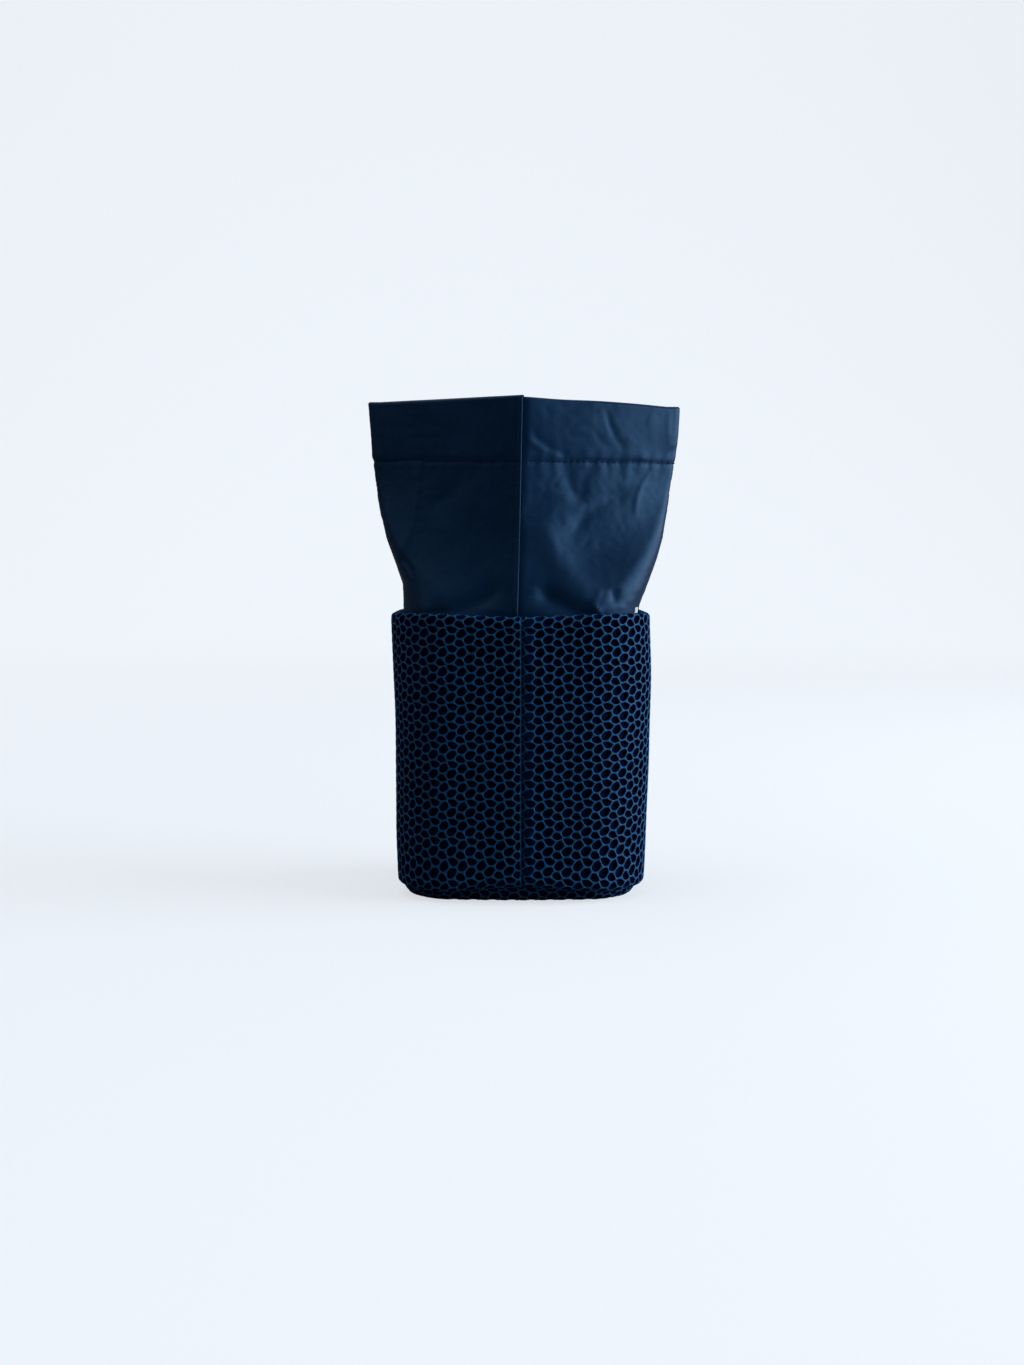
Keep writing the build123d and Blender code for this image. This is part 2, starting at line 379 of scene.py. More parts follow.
def cell_rings(polygon, share):
    """A cell's crest, and the rings inside it: each a list of places, with its depth. share is how much of
    its full relief the cell has, which is less where a seam presses it flat."""
    knit = bpy.context.scene.pouch_mesh
    crest = with_middles(polygon)
    count = len(crest)
    corners = [Vector(p) for p in crest]
    soft = [corners[k - 1] * 0.25 + corners[k] * 0.5 + corners[(k + 1) % count] * 0.25 for k in range(count)]
    inward = []
    for k in range(count):
        along = soft[(k + 1) % count] - soft[k - 1]
        inward.append(Vector((-along.y, along.x)).normalized() if along.length > 0 else Vector((0, 0)))
    width = min(knit.strand_width / 2, 0.22 * math.sqrt(abs(area(polygon)))) * mix(0.5, 1.0, share)
    depth = knit.cell_depth * share * min(1.0, 3.2 * width / knit.strand_width)
    rings = [(crest, 0.0)]
    for reach, drop in STRAND_PROFILE:
        rings.append(([tuple(p + n * width * reach) for p, n in zip(soft, inward)], drop * depth))
    return rings


def knit_mesh(name, outline, place, relief):
    """A closed mesh of knitted cells that fills a convex outline, each vertex put on the pouch by place.
    relief is the share of its full depth that a cell has at a place."""
    noise.seed_set(KNIT_SEED)
    knit = bpy.context.scene.pouch_mesh
    columns = [p[0] / knit.repeat_width for p in outline]
    rows = [-p[1] / knit.repeat_height for p in outline]
    made = bmesh.new()
    flat = made.loops.layers.uv.new("UVMap")
    known = {}
    crests = []

    def vertex(p, depth):
        key = (round(p[0], 7), round(p[1], 7), round(depth, 7))
        if key not in known:
            point, normal = place(p[0], p[1])
            known[key] = made.verts.new(point - normal * depth)
        return known[key]

    def face(corners, places, material, smooth):
        if len(set(corners)) == len(corners) and not made.faces.get(corners):
            new = made.faces.new(corners)
            new.material_index = material
            new.smooth = smooth
            for loop, p in zip(new.loops, places):
                loop[flat].uv = p

    for column in range(math.floor(min(columns)) - 2, math.ceil(max(columns)) + 2):
        for row in range(math.floor(min(rows)) - 2, math.ceil(max(rows)) + 2):
            for cell in CELLS:
                polygon = [junction(n, column + i, row + j) for n, i, j in cell]
                if area(polygon) < 0:
                    polygon.reverse()
                polygon = clip(polygon, outline)
                if len(polygon) < 3 or area(polygon) < 1e-9:
                    continue
                crests.append(with_middles(polygon))
                if area(polygon) < SLIVER * knit.repeat_width * knit.repeat_height:
                    face([vertex(p, 0.0) for p in crests[-1]], crests[-1], 0, True)
                    continue
                middle = sum((Vector(p) for p in polygon), Vector((0, 0))) / len(polygon)
                share = relief(middle.x, middle.y)
                rings = [([vertex(p, d) for p in ring], ring) for ring, d in cell_rings(polygon, share)]
                for k in range(len(rings) - 1):
                    (outer, outer_at), (inner, inner_at) = rings[k], rings[k + 1]
                    count = len(outer)
                    for m in range(count):
                        n = (m + 1) % count
                        corners = [outer[m], outer[n], inner[n], inner[m]]
                        places = [outer_at[m], outer_at[n], inner_at[n], inner_at[m]]
                        # The walls below the crest's first ring, and the floors, take the dark backing
                        # colour: partly the knit's own darker backing, partly painted shade down in the
                        # cells.
                        face(corners, places, int(k > 0), k < 2)
                inner, inner_at = rings[-1]
                face(inner, inner_at, 1, False)
    edges = [edge for edge in made.edges if edge.is_boundary]
    on_crest = {corner: key[:2] for key, corner in known.items() if key[2] == 0.0}
    back = knit.cell_depth + BACKING
    for crest in crests:
        face([vertex(p, back) for p in reversed(crest)], crest[::-1], 1, True)
    for edge in edges:
        loop = edge.link_loops[0]
        start, end = loop.vert, loop.link_loop_next.vert
        if start in on_crest and end in on_crest:
            a, b = on_crest[start], on_crest[end]
            face([end, start, vertex(a, back), vertex(b, back)], [b, a, a, b], 0, True)
    mesh = bpy.data.meshes.new(name)
    made.to_mesh(mesh)
    made.free()
    return named_object(name, mesh)


# ---- The nylon's shape ----
# Half the collar's width by height, at the right and at the left
WIDTH_RIGHT = ((0.132, 0.0593), (0.144, 0.0597), (0.150, 0.0612), (0.1625, 0.0663), (0.176, 0.0707),
               (0.196, 0.0748), (0.219, 0.0786), (0.237, 0.0806), (0.249, 0.0813))
WIDTH_LEFT = ((0.132, 0.0593), (0.144, 0.0598), (0.158, 0.0601), (0.164, 0.0622), (0.181, 0.0680),
              (0.201, 0.0728), (0.2215, 0.0758), (0.242, 0.0773), (0.2505, 0.0779))
FLARE_FROM = 0.146  # height where the collar starts to leave the cup's plan
CREASE_Y = 0.0140  # half the gap between the two creases on one side, at the hem
CREASE_RADIUS = 3.0 * MM
PANEL_WIDTH = 86.5 * MM  # from a seam to the nearer crease, along the cloth
PANEL_SWELL = 2.8 * MM  # how far the cloth between them bellies out
FRONT_HOLD = 0.85  # how firmly the cloth keeps its laid-out shape as it settles, at the front
BACK_HOLD = 0.2
SEAM_LEAN = ((0.144, -1.7 * MM), (0.250, 0.5 * MM))  # the front seam's place across, by height


CORNER_STEPS = 24  # straight runs in a rounded corner of the collar's outline


def cloth_width():
    """Of one side's nylon, from seam to seam."""
    return cup_half_length() - 4 * NYLON_INSET


def collar_corners(height, side):
    """One side's outline at a height: its corners from the front seam to the back seam, and their radius."""
    opened = math.sin(min(max((height - FLARE_FROM) / (HEM_FOOT - FLARE_FROM), 0.0), 1.0) * math.pi / 2)
    width = through(WIDTH_RIGHT if side > 0 else WIDTH_LEFT, height)
    crease = mix(NYLON_HALF_Y, CREASE_Y, opened)
    seam = mix(NYLON_HALF_Y, SEAM_OUT, opened)
    radius = mix(bpy.context.scene.pouch_mesh.corner_radius - NYLON_INSET, CREASE_RADIUS, opened)
    return [(0.0, -seam), (width, -crease), (width, crease), (0.0, seam)], radius


def rounded_path(corners, radius, shares):
    """Places at shares of the length of a path with rounded corners, each with its outward direction."""
    points = [Vector(corners[0])]
    for before, corner, after in zip(corners, corners[1:], corners[2:]):
        here = Vector(corner)
        back = (Vector(before) - here).normalized()
        on = (Vector(after) - here).normalized()
        half = back.angle(on) / 2
        reach = radius / math.tan(half)
        centre = here + (back + on).normalized() * (radius / math.sin(half))
        first = here + back * reach - centre
        sweep = (here + on * reach - centre).angle(first)
        for k in range(CORNER_STEPS + 1):
            angle = sweep * k / CORNER_STEPS
            turned = Vector((
                first.x * math.cos(angle) - first.y * math.sin(angle),
                first.x * math.sin(angle) + first.y * math.cos(angle),
            ))
            points.append(centre + turned)
    points.append(Vector(corners[-1]))
    lengths = [0.0]
    for a, b in zip(points, points[1:]):
        lengths.append(lengths[-1] + (b - a).length)
    places = []
    k = 0
    for share_along in shares:
        at = lengths[-1] * share_along
        while k < len(points) - 2 and lengths[k + 1] < at:
            k += 1
        run = points[k + 1] - points[k]
        share = (at - lengths[k]) / max(lengths[k + 1] - lengths[k], 1e-9)
        out = Vector((run.y, -run.x)).normalized()
        places.append((points[k] + run * share, out))
    return places


# Folds in a side's nylon: from a place to a place (each round from the front seam, and up), how far the fold
# stands out, and how wide it is
FOLDS_RIGHT = (
    ((0.010, 0.190), (0.037, 0.148), 2.4 * MM, 18 * MM),
    ((0.010, 0.155), (0.033, 0.1430), -3.0 * MM, 11 * MM),
    ((0.058, 0.205), (0.026, 0.184), -1.1 * MM, 9.0 * MM),
    ((0.024, 0.221), (0.031, 0.199), -0.6 * MM, 8.0 * MM),
    ((0.038, 0.221), (0.032, 0.199), -0.4 * MM, 7.0 * MM),
    ((0.084, 0.226), (0.073, 0.219), -0.4 * MM, 2.4 * MM),
    ((0.073, 0.218), (0.061, 0.192), 0.35 * MM, 3.2 * MM),
    ((0.044, 0.244), (0.0535, 0.227), -0.5 * MM, 3.0 * MM),
    ((0.038, 0.234), (0.045, 0.227), -0.25 * MM, 2.4 * MM),
    ((0.006, 0.2325), (0.0256, 0.2215), -0.5 * MM, 3.4 * MM),
    ((0.002, 0.231), (0.0195, 0.2225), 0.4 * MM, 2.2 * MM),
    ((0.045, 0.156), (0.046, 0.149), -1.2 * MM, 6.0 * MM),
    ((0.034, 0.149), (0.038, 0.156), 0.6 * MM, 2.4 * MM),
    ((0.0345, 0.149), (0.039, 0.143), 1.2 * MM, 1.6 * MM),
    ((0.0795, 0.246), (0.081, 0.229), 0.25 * MM, 2.4 * MM),
    ((0.070, 0.246), (0.067, 0.2375), 0.2 * MM, 1.3 * MM),
    ((0.0845, 0.228), (0.082, 0.2225), -0.4 * MM, 1.8 * MM),
)
FOLDS_LEFT = (
    ((0.010, 0.155), (0.045, 0.1430), -2.6 * MM, 12 * MM),
    ((0.060, 0.225), (0.066, 0.170), 0.5 * MM, 6 * MM),
    ((0.066, 0.172), (0.056, 0.162), -1.3 * MM, 4.0 * MM),
    ((0.044, 0.190), (0.026, 0.168), 0.4 * MM, 9 * MM),
    ((0.030, 0.214), (0.052, 0.196), -0.4 * MM, 8 * MM),
    ((0.072, 0.247), (0.074, 0.232), 0.3 * MM, 2.0 * MM),
)


def fold(places, across, height):
    """How far a fold stands out at a place. A fold is sharpest along its middle and fades at both ends."""
    start, end, stand, width = places
    run_x, run_y = end[0] - start[0], end[1] - start[1]
    length = math.hypot(run_x, run_y)
    along = ((across - start[0]) * run_x + (height - start[1]) * run_y) / length**2
    off = ((across - start[0]) * run_y - (height - start[1]) * run_x) / length
    bend = 0.08 * length * math.sin(math.pi * min(max(along, 0), 1))
    fade = ease((along + 0.18) / 0.4) * ease((1.18 - along) / 0.4)
    return stand * fade / (1 + ((off - bend) / (0.55 * width)) ** 2) ** 1.5


def hidden_folds(side):
    """Folds round the side and back of one panel, which settle anywhere that the cloth has slack."""
    chance = random.Random(11 + side)
    folds = []
    for _ in range(15):
        across = chance.uniform(0.095, 0.196)
        height = chance.uniform(0.150, 0.213)
        lean = chance.uniform(-0.02, 0.02)
        drop = chance.uniform(0.012, 0.034)
        stand = chance.choice((-1, 1)) * chance.uniform(0.6, 1.7) * MM
        width = chance.uniform(3, 8) * MM
        folds.append(((across, height), (across + lean, height - drop), stand, width))
    for _ in range(10):
        across = chance.uniform(0.10, 0.198)
        height = chance.uniform(0.232, 0.246)
        lean = chance.uniform(-0.008, 0.008)
        stand = chance.choice((-1, 1)) * chance.uniform(0.3, 0.8) * MM
        folds.append(((across, height), (across + lean, height - 0.011), stand, 2.2 * MM))
    return tuple(folds)


def stitch_line(across, side):
    """Height of the hem's stitch row, a distance round from the front seam."""
    corner = 0.2212 if side < 0 else 0.2197
    return mix(0.2192, corner, ease(across / 0.075)) + 0.15 * MM * math.sin(across * 230)


# Height of the hem's top fold, by distance round from the front seam
TOP_LEFT = ((0, 0.2508), (0.04, 0.2502), (0.078, 0.2500))
TOP_RIGHT = ((0, 0.2500), (0.020, 0.2492), (0.040, 0.2491), (0.060, 0.2485), (0.078, 0.2476))


def top_line(across, side):
    """Height of the hem's top fold, a distance round from the front seam."""
    if side < 0:
        front = through(TOP_LEFT, across)
    else:
        front = through(TOP_RIGHT, across)
    return front + 0.4 * MM * math.sin(max(across - 0.078, 0) * 95)


SETTLE_FRAMES = 18


def settle(obj, pins):
    """Lets the nylon find its own creases: a short cloth simulation with the seams, rim and hem held."""
    group = obj.vertex_groups.new(name="held")
    for index, weight in enumerate(pins):
        group.add([index], weight, "REPLACE")
    cloth = obj.modifiers.new("Cloth", "CLOTH")
    cloth.settings.quality = 6
    cloth.settings.mass = 0.06
    cloth.settings.tension_stiffness = 25
    cloth.settings.compression_stiffness = 25
    cloth.settings.shear_stiffness = 12
    cloth.settings.bending_stiffness = 0.12
    cloth.settings.shrink_min = -0.010
    cloth.settings.vertex_group_mass = "held"
    cloth.settings.pin_stiffness = 1.0
    cloth.settings.effector_weights.gravity = 0.3
    cloth.collision_settings.use_collision = False
    scene = bpy.context.scene
    scene.frame_start, scene.frame_end = 1, SETTLE_FRAMES
    cloth.point_cache.frame_start, cloth.point_cache.frame_end = 1, SETTLE_FRAMES
    for number in range(1, SETTLE_FRAMES + 1):
        scene.frame_set(number)
    apply_modifiers(obj)
    scene.frame_set(1)
    obj.vertex_groups.clear()


def column_shares():
    """Where the cloth's columns lie, as shares of a panel's width: close together at the seams."""
    width = cloth_width()
    edge = [e * MM for e in (0.0, 0.3, 0.6, 0.9, 1.3, 1.8, 2.4, 3.1, 4.0)]
    inner = width - 2 * edge[-1]
    count = round(inner / bpy.context.scene.pouch_nylon.spacing)
    middle = [edge[-1] + inner * k / count for k in range(1, count)]
    places = edge + middle + [width - e for e in reversed(edge)]
    return [place / width for place in places]


OVER_ROWS = 6  # rows of cloth round the top fold
SEAM_FLAT = 4 * MM  # width beside a seam over which the folds die away
CRINKLE = 0.4 * MM  # height of the broad crinkles
FINE_CRINKLE = 0.25 * MM
HEM_STEP = 0.4 * MM  # how far the hem's doubled cloth stands out
PUCKER = 0.12 * MM  # height of the puckers above and below the stitch row
SEAM_RIDGE = 0.55 * MM  # height of the seam allowance under the left panel
SEAM_SINK = 0.2 * MM
RIGHT_GROOVE = 0.6 * MM  # depth of the groove beside it, on the right panel
OVERLAP = 0.35 * MM  # how far the left panel laps over the right one
INNER_RELIEF = 0.6  # share of the outer layer's relief that the hem's inner layer has
TOP_FROM = 0.20  # height above which the top fold's line is followed


def panel_rows():
    """A panel's rows, from its tuck up to the top fold, over it and down inside: each row's height, inset
    and rise over the fold. Also the number of rows up to the fold."""
    nylon = bpy.context.scene.pouch_nylon
    up = int(round((HEM_TOP - TUCK) / nylon.spacing))
    down = int(round((HEM_TOP - HEM_FOOT) / nylon.spacing))
    rows = [(mix(TUCK, HEM_TOP, step / up), 0.0, 0.0) for step in range(up + 1)]
    for step in range(1, OVER_ROWS + 1):
        angle = math.pi * step / OVER_ROWS
        rows.append((HEM_TOP, nylon.hem_gap * (1 - math.cos(angle)) / 2, nylon.hem_gap / 2 * math.sin(angle)))
    for step in range(1, down + 1):
        rows.append((mix(HEM_TOP, HEM_FOOT, step / down), nylon.hem_gap, 0.0))
    return rows, up


def crinkles(at, z, side):
    """Small uneven crinkles all over the cloth."""
    broad = noise.noise(Vector((at * 60, z * 75, side * 5.0))) * CRINKLE
    fine = (abs(noise.noise(Vector((at * 150, z * 190, side * 9.0)))) - 0.2) * FINE_CRINKLE
    return broad + fine


def stitching(at, above, side):
    """How far the cloth stands out near the stitch row: dipped at each stitch, puckered round it, and doubled
    above it. above is the height over the row."""
    pitch = bpy.context.scene.pouch_nylon.stitch_pitch
    dip = bump(above, 1.2 * MM) * (0.45 - 0.25 * math.cos(2 * math.pi * at / pitch)) * MM
    phase = 2 * math.pi * at / (pitch * 2.3) + 3 * noise.noise(Vector((at * 40, 0, side)))
    pucker = math.sin(phase) * PUCKER * bump(above, 6 * MM)
    step = HEM_STEP * ease((above + 0.3 * MM) / (1.2 * MM))
    return pucker + step - dip


def belly(near_seam, z):
    """How far the cloth bellies out between a seam and a crease."""
    share = min(near_seam / PANEL_WIDTH, 1.0)
    return PANEL_SWELL * 4 * share * (1 - share) * ease((z - 0.160) / 0.05)


def seam_relief(near_seam, side):
    """A ridge over the seam allowance on the left panel, and a groove beside it on the right one."""
    if side > 0:
        return -RIGHT_GROOVE * bump(near_seam, 1.3 * MM)
    ridge = ease((2.4 * MM - near_seam) / (1.0 * MM)) * ease((near_seam + 0.2 * MM) / (0.9 * MM))
    return SEAM_RIDGE * ridge - SEAM_SINK


def sideways(at, near_seam, z, side):
    """How far the cloth moves across: the front seam leans, and the left panel laps over the right one."""
    overlap = OVERLAP if side < 0 else 0.0
    if at > near_seam:
        return overlap * bump(near_seam, 2 * MM)
    lean = mix(SEAM_LEAN[0][1], SEAM_LEAN[1][1], (z - RIM) / (HEM_TOP - RIM))
    return (lean + overlap) * bump(near_seam, 16 * MM)


def firmness(at, near_seam, z, above):
    """How firmly the cloth keeps its laid-out shape as it settles, from 0 to 1."""
    by_place = mix(FRONT_HOLD, BACK_HOLD, ease((at - PANEL_WIDTH) / (20 * MM)))
    at_rim = ease((RIM + 3 * MM - z) / (3 * MM))
    at_hem = ease((above + 4 * MM) / (4 * MM))
    at_seam = ease(1 - near_seam / SEAM_FLAT)
    return max(at_rim, at_hem, at_seam, by_place)


def nylon_panel(side, name):
    """One side's nylon, from its tuck behind the rim up to the top fold and down inside to the stitch row."""
    nylon = bpy.context.scene.pouch_nylon
    shares = column_shares()
    width = cloth_width()
    rows, up = panel_rows()
    folds = (FOLDS_RIGHT if side > 0 else FOLDS_LEFT) + hidden_folds(side)
    points, pins, flat, relief = [], [], [], []
    for row, (height, inset, rise) in enumerate(rows):
        corners, radius = collar_corners(height, side)
        for share, (place, out) in zip(shares, rounded_path(corners, radius, shares)):
            at = share * width
            near_seam = min(at, width - at)
            lift = (top_line(at, side) - HEM_TOP) * ease((height - TOP_FROM) / (HEM_TOP - TOP_FROM))
            z = height + lift + rise
            above = z - stitch_line(at, side)
            stand = sum(fold(places, at, z) for places in folds)
            free = ease((z - RIM + 6 * MM) / (8 * MM))
            push = (stand + crinkles(at, z, side)) * free + belly(near_seam, z) + stitching(at, above, side)
            push = push * ease(near_seam / SEAM_FLAT) + seam_relief(near_seam, side) * free
            if row > up:
                push *= INNER_RELIEF
            spot = place + out * (push - inset)
            spot.y += math.copysign(swell_at(spot.x) * ease((RIM + 40 * MM - z) / (40 * MM)), spot.y)
            points.append((side * spot.x + sideways(at, near_seam, z, side), spot.y, z))
            pins.append(1.0 if row > up else firmness(at, near_seam, z, above))
            flat.append((side * at, row * nylon.spacing))
            # How far a fold stands out here, from 0 to 1: the nylon's material paints a highlight along the
            # crests from it.
            relief.append(min(max(0.5 + stand / (3 * MM), 0), 1))
    faces = []
    wide = len(shares)
    for row in range(len(rows) - 1):
        for column in range(wide - 1):
            a = row * wide + column
            quad = (a, a + 1, a + wide + 1, a + wide)
            faces.append(quad if side > 0 else quad[::-1])
    mesh = bpy.data.meshes.new(name)
    mesh.from_pydata(points, [], faces)
    obj = named_object(name, mesh)
    uv = mesh.uv_layers.new(name="UVMap")
    for loop in mesh.loops:
        uv.data[loop.index].uv = flat[loop.vertex_index]
    ridges = mesh.attributes.new("ridge", "FLOAT", "POINT")
    ridges.data.foreach_set("value", relief)
    settle(obj, pins)
    obj["columns"] = wide
    obj["rows_up"] = up
    return obj


# ---- Materials ----
TAPE_COLOUR = (0.004, 0.012, 0.03)
TAB_COLOUR = (0.55, 0.54, 0.50)
BOARD_COLOUR = (0.05, 0.05, 0.055)
NYLON_CREST_HIGHLIGHT = (0.008, 0.028, 0.066)  # painted highlight: paler nylon along the crests of the standing folds, where light catches them


def new_material(name):
    material = bpy.data.materials.new(name)
    material.use_nodes = True
    tree = material.node_tree
    return material, tree, tree.nodes["Principled BSDF"]


def node(tree, kind, inputs=(), **settings):
    """A node with its settings, and its inputs set or linked."""
    made = tree.nodes.new(kind)
    for key, value in settings.items():
        setattr(made, key, value)
    return set_inputs(tree, made, dict(inputs))


def new_group(name, inputs, outputs):
    """A node group with its sockets, and its two end nodes."""
    tree = bpy.data.node_groups.new(name, "ShaderNodeTree")
    for label, kind, value in inputs:
        socket = tree.interface.new_socket(name=label, in_out="INPUT", socket_type=kind)
        if value is not None:
            socket.default_value = value
    for label, kind in outputs:
        tree.interface.new_socket(name=label, in_out="OUTPUT", socket_type=kind)
    return tree, tree.nodes.new("NodeGroupInput"), tree.nodes.new("NodeGroupOutput")


def weave_group():
    """Plain weave: threads that pass over and under each other."""
    if "pouch_weave" in bpy.data.node_groups:
        return bpy.data.node_groups["pouch_weave"]
    tree, given, result = new_group(
        "pouch_weave",
        [("Vector", "NodeSocketVector", None), ("Threads", "NodeSocketFloat", 4000.0)],
        [("Height", "NodeSocketFloat")],
    )
    threads = {"Vector": given.outputs["Vector"], "Scale": given.outputs["Threads"]}
    across = node(tree, "ShaderNodeTexWave", threads, bands_direction="X")
    along = node(tree, "ShaderNodeTexWave", threads, bands_direction="Y")
    pair = {0: across.outputs["Fac"], 1: along.outputs["Fac"]}
    both = node(tree, "ShaderNodeMath", pair, operation="MAXIMUM")
    tree.links.new(both.outputs[0], result.inputs["Height"])
    return tree


def mottle_group():
    """Soft changes of colour: a base colour that drifts lighter and darker."""
    if "pouch_mottle" in bpy.data.node_groups:
        return bpy.data.node_groups["pouch_mottle"]
    tree, given, result = new_group(
        "pouch_mottle",
        [("Color", "NodeSocketColor", (0.5, 0.5, 0.5, 1)), ("Scale", "NodeSocketFloat", 60.0),
         ("Amount", "NodeSocketFloat", 0.3)],
        [("Color", "NodeSocketColor"), ("Mask", "NodeSocketFloat")],
    )
    place = node(tree, "ShaderNodeTexCoord")
    cloud = node(tree, "ShaderNodeTexNoise", {
        "Vector": place.outputs["Object"], "Scale": given.outputs["Scale"], "Detail": 4.0, "Roughness": 0.6})
    centred = node(tree, "ShaderNodeMath", {0: cloud.outputs["Fac"], 1: -0.5}, operation="ADD")
    strength = {0: centred.outputs[0], 1: given.outputs["Amount"]}
    scaled = node(tree, "ShaderNodeMath", strength, operation="MULTIPLY")
    light = node(tree, "ShaderNodeMath", {0: scaled.outputs[0], 1: 2.0, 2: 1.0}, operation="MULTIPLY_ADD")
    tint = {0: given.outputs["Color"], "Scale": light.outputs[0]}
    tinted = node(tree, "ShaderNodeVectorMath", tint, operation="SCALE")
    tree.links.new(tinted.outputs["Vector"], result.inputs["Color"])
    tree.links.new(cloud.outputs["Fac"], result.inputs["Mask"])
    return tree


def set_inputs(tree, made, inputs):
    """Sets a node's inputs, or links them to other nodes' sockets."""
    for key, value in inputs.items():
        if isinstance(value, bpy.types.NodeSocket):
            tree.links.new(value, made.inputs[key])
        else:
            made.inputs[key].default_value = value
    return made


def place_group(tree, group, inputs):
    return set_inputs(tree, node(tree, "ShaderNodeGroup", node_tree=group), inputs)


def nylon_material():
    if "dyed_nylon" in bpy.data.materials:
        return bpy.data.materials["dyed_nylon"]
    nylon = bpy.context.scene.pouch_nylon
    material, tree, shader = new_material("dyed_nylon")
    uv = node(tree, "ShaderNodeUVMap", uv_map="UVMap")
    drift = place_group(tree, mottle_group(), {"Color": (*nylon.colour, 1), "Scale": 45.0, "Amount": 0.35})
    # Painted highlight: the colour is mixed towards a paler blue where the ridge attribute shows a fold
    # standing out.
    ridge = node(tree, "ShaderNodeAttribute", attribute_name="ridge")
    crest_highlight = node(tree, "ShaderNodeMapRange", {"Value": ridge.outputs["Fac"], 1: 0.55, 2: 1.0, 3: 0.0, 4: 0.3})
    colours = {"Factor": crest_highlight.outputs["Result"], 6: drift.outputs["Color"], 7: (*NYLON_CREST_HIGHLIGHT, 1)}
    paler = node(tree, "ShaderNodeMix", colours, data_type="RGBA")
    tree.links.new(paler.outputs[2], shader.inputs["Base Color"])
    mask = drift.outputs["Mask"]
    gloss = node(tree, "ShaderNodeMapRange", {"Value": mask, 1: 0.3, 2: 0.7, 3: 0.4, 4: 0.52})
    tree.links.new(gloss.outputs["Result"], shader.inputs["Roughness"])
    weave = place_group(tree, weave_group(), {"Vector": uv.outputs["UV"], "Threads": 1100.0})
    place = node(tree, "ShaderNodeTexCoord")
    crumple = node(tree, "ShaderNodeTexNoise", {
        "Vector": place.outputs["Object"], "Scale": 260.0, "Detail": 3.0})
    fine = node(tree, "ShaderNodeBump", {
        "Height": weave.outputs["Height"], "Strength": 0.12, "Distance": 0.00005})
    both = node(tree, "ShaderNodeBump", {
        "Height": crumple.outputs["Fac"], "Strength": 0.22, "Distance": 0.0004,
        "Normal": fine.outputs["Normal"]})
    tree.links.new(both.outputs["Normal"], shader.inputs["Normal"])
    shader.inputs["Specular IOR Level"].default_value = 0.28
    shader.inputs["Specular Tint"].default_value = (0.15, 0.5, 1.0, 1)
    shader.inputs["Sheen Weight"].default_value = 0.05
    shader.inputs["Sheen Roughness"].default_value = 0.3
    shader.inputs["Sheen Tint"].default_value = (0.25, 0.5, 0.85, 1)
    return material


def yarn_material(name, colour, roughness, twist, fuzz):
    """Knitted or twisted yarn: fine diagonal plies, and a soft shine that grows with its fuzz."""
    if name in bpy.data.materials:
        return bpy.data.materials[name]
    material, tree, shader = new_material(name)
    place = node(tree, "ShaderNodeTexCoord")
    drift = place_group(tree, mottle_group(), {"Color": (*colour, 1), "Scale": 120.0, "Amount": 0.55})
    tree.links.new(drift.outputs["Color"], shader.inputs["Base Color"])
    rough = node(tree, "ShaderNodeMapRange", {
        "Value": drift.outputs["Mask"], 1: 0.3, 2: 0.7, 3: roughness - 0.08, 4: roughness + 0.08})
    tree.links.new(rough.outputs["Result"], shader.inputs["Roughness"])
    twisted = {"Vector": place.outputs["Object"], "Scale": twist, "Distortion": 3.0, "Detail": 2.0}
    plies = node(tree, "ShaderNodeTexWave", twisted, bands_direction="DIAGONAL")
    fibre = node(tree, "ShaderNodeBump", {
        "Height": plies.outputs["Fac"], "Strength": 0.5, "Distance": 0.00012})
    tree.links.new(fibre.outputs["Normal"], shader.inputs["Normal"])
    shader.inputs["Specular IOR Level"].default_value = 4 * fuzz
    shader.inputs["Specular Tint"].default_value = (0.15, 0.5, 1.0, 1)
    shader.inputs["Sheen Weight"].default_value = fuzz
    shader.inputs["Sheen Roughness"].default_value = 0.5
    shader.inputs["Sheen Tint"].default_value = (0.12, 0.5, 0.9, 1)
    return material


def strand_material():
    return yarn_material("mesh_strand", bpy.context.scene.pouch_mesh.strand_colour, 0.58, 900.0, 0.13)


# The knit's darker backing, which also gives the cells their painted shade.
def backing_and_shade_material():
    return yarn_material("mesh_backing", bpy.context.scene.pouch_mesh.backing_and_shade_colour, 0.9, 500.0, 0.0)


def thread_material():
    return yarn_material("sewing_thread", bpy.context.scene.pouch_nylon.thread_colour, 0.5, 1500.0, 0.05)


def woven_material(name, colour, roughness):
    """Closely woven tape or tab."""
    if name in bpy.data.materials:
        return bpy.data.materials[name]
    material, tree, shader = new_material(name)
    place = node(tree, "ShaderNodeTexCoord")
    drift = place_group(tree, mottle_group(), {"Color": (*colour, 1), "Scale": 300.0, "Amount": 0.25})
    tree.links.new(drift.outputs["Color"], shader.inputs["Base Color"])
    weave = place_group(tree, weave_group(), {"Vector": place.outputs["Object"], "Threads": 600.0})
    fine = node(tree, "ShaderNodeBump", {
        "Height": weave.outputs["Height"], "Strength": 0.5, "Distance": 0.0001})
    tree.links.new(fine.outputs["Normal"], shader.inputs["Normal"])
    shader.inputs["Roughness"].default_value = roughness
    return material


